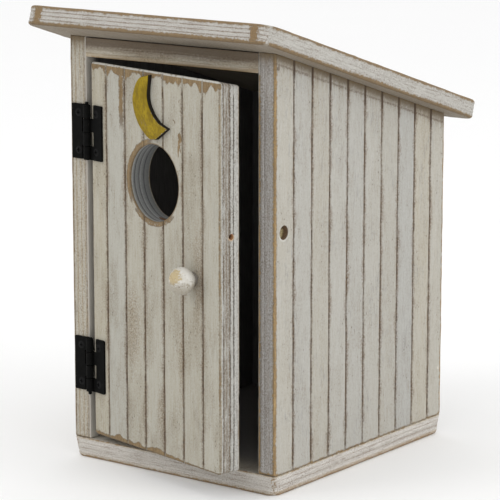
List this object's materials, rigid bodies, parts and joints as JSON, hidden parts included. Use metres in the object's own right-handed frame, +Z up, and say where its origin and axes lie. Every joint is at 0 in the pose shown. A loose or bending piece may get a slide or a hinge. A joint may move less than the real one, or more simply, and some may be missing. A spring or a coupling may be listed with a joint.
{
  "type": "birdhouse",
  "caption": "Outhouse-style birdhouse: a grooved plywood box under a lean-to roof, with a hinged front door that carries a round entrance hole, a crescent moon and a knob.",
  "frame": {"origin": "centre of the floor's underside, midway between the side walls' outer faces and between the cabinet's front and back faces", "axes": "+Z up, the door faces -Y, +X to the right of someone who faces the door"},
  "size_m": [0.151, 0.1966, 0.2335],
  "materials": {
    "cabinet_paint": "whitewashed grooved plywood, distressed, matt",
    "roof_paint": "whitewashed plywood, worn through at the edges, matt",
    "door_paint": "whitewashed grooved plywood, peeling at the top, matt",
    "moon_paint": "mustard paint, scuffed, black-stained edges",
    "knob_paint": "white paint, worn to the wood in spots",
    "hinge_black": "matt black lacquer",
    "screw_black": "matt black lacquer",
    "screw_steel": "plain steel, dull",
    "brad_steel": "plain steel, darkened"
  },
  "bodies": {
    "cabinet": {"floor_panel": "cabinet_paint", "left_side_panel": "cabinet_paint", "right_side_panel": "cabinet_paint", "back_panel": "cabinet_paint", "header_rail": "cabinet_paint", "roof_panel": "roof_paint", "floor_brads": "brad_steel", "roof_brads": "brad_steel", "header_brads": "brad_steel", "back_brads": "brad_steel", "upper_hinge_frame_leaf": "hinge_black", "upper_hinge_pin": "hinge_black", "upper_hinge_frame_screws": "screw_black", "lower_hinge_frame_leaf": "hinge_black", "lower_hinge_pin": "hinge_black", "lower_hinge_frame_screws": "screw_black"},
    "door": {"door_panel": "door_paint", "crescent_moon": "moon_paint", "door_knob": "knob_paint", "knob_screw": "screw_steel", "upper_hinge_door_leaf": "hinge_black", "upper_hinge_door_screws": "screw_black", "lower_hinge_door_leaf": "hinge_black", "lower_hinge_door_screws": "screw_black"}
  },
  "joints": [
    {"name": "door_hinge", "type": "hinge", "parent": "cabinet", "child": "door", "pos_m": [-0.0514, -0.0764, 0.1096], "axis": [0, 0, -1], "range_deg": [-13.3, 151]}
  ]
}
